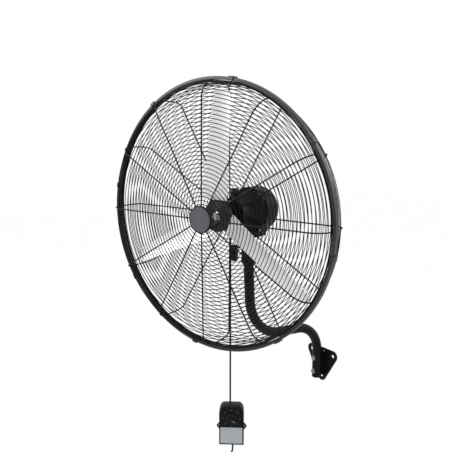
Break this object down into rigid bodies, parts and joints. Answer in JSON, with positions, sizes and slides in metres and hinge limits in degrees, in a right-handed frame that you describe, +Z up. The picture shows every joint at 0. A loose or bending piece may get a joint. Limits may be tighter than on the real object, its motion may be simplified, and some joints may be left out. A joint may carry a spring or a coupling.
{
  "type": "wall mounted fan",
  "caption": "Wall mounted fan: bent tube arm on a wall plate, guarded blade rotor on a tilting and swivelling motor, and a control box hanging on the motor's cord.",
  "frame": {"origin": "centre of the wall plate's back face, halfway between the arm's two bolts, on the wall", "axes": "+Z up; +Y into the wall; -Y out into the room; +X to the right as seen from the room"},
  "size_m": [0.7931, 0.6836, 1.4715],
  "materials": {
    "black_paint": "satin black powder coat",
    "rim_paint": "satin dark grey paint",
    "cast_black": "matt black paint on castings",
    "hub_paint": "dark grey paint",
    "cap_plastic": "grey-blue moulded plastic",
    "blade_aluminium": "mill finish sheet",
    "zinc": "zinc plated",
    "steel": "machined",
    "copper": "varnished copper wire",
    "black_plastic": "moulded black plastic",
    "panel_grey": "light grey label plate",
    "rubber": "black cord jacket"
  },
  "bodies": {
    "wall_arm": {"wall_plate": "black_paint", "arm_tube": "black_paint", "arm_bolt_upper": "zinc", "arm_bolt_lower": "zinc", "arm_end_cap": "black_plastic"},
    "pan_head": {"swivel_yoke": "cast_black", "swivel_lock_screw": "black_plastic", "tilt_bolt": "zinc", "tilt_wing_nut": "cast_black", "capacitor": "black_plastic", "capacitor_screw": "zinc", "cord_clip": "black_plastic", "cord_upper": "rubber", "grommet_top": "rubber", "grommet_bottom": "rubber", "box_front_cover": "black_plastic", "box_rear_shell": "black_plastic", "box_screw_left": "zinc", "box_screw_right": "zinc", "box_panel": "panel_grey", "selector_switch": "black_plastic", "cord_lower": "rubber", "cord_coil": "rubber", "cord_tie": "black_plastic", "cord_tail": "rubber", "plug": "rubber"},
    "tilt_head": {"motor_foot": "cast_black", "foot_screw_left": "zinc", "foot_screw_right": "zinc", "motor_front_shield": "cast_black", "motor_rear_shell": "cast_black", "stator_core": "steel", "winding_front": "copper", "winding_rear": "copper", "bearing_front": "steel", "bearing_rear": "steel", "motor_bolt_1": "zinc", "motor_bolt_2": "zinc", "motor_bolt_3": "zinc", "motor_bolt_4": "zinc", "motor_gland": "rubber", "motor_lead": "rubber", "rear_guard": "black_paint", "front_guard": "black_paint", "rim_band": "rim_paint", "guard_cap": "cap_plastic", "cap_screw": "zinc", "guard_screw_1": "zinc", "guard_screw_2": "zinc", "guard_screw_3": "zinc"},
    "rotor": {"motor_shaft": "steel", "rotor_core": "steel", "hub_spider": "hub_paint", "blade_1": "blade_aluminium", "blade_2": "blade_aluminium", "blade_3": "blade_aluminium", "hub_washer": "zinc", "hub_nut": "zinc"},
    "knob": {"selector_knob": "black_plastic"}
  },
  "joints": [
    {"name": "pan_swivel", "type": "hinge", "parent": "wall_arm", "child": "pan_head", "pos_m": [0, -0.361, 0.455], "axis": [0, 0, 1], "range_deg": [-60, 30]},
    {"name": "head_tilt", "type": "hinge", "parent": "pan_head", "child": "tilt_head", "pos_m": [0, -0.361, 0.503], "axis": [0.9636, 0.2672, 0], "range_deg": [-20, 15]},
    {"name": "rotor_spin", "type": "hinge", "parent": "tilt_head", "child": "rotor", "pos_m": [0, -0.361, 0.606], "axis": [-0.2672, 0.9636, 0], "continuous": true},
    {"name": "selector_turn", "type": "hinge", "parent": "pan_head", "child": "knob", "pos_m": [-0.05795, -0.38628, -0.132], "axis": [-0.766, 0.6428, 0], "range_deg": [0, 315]}
  ]
}
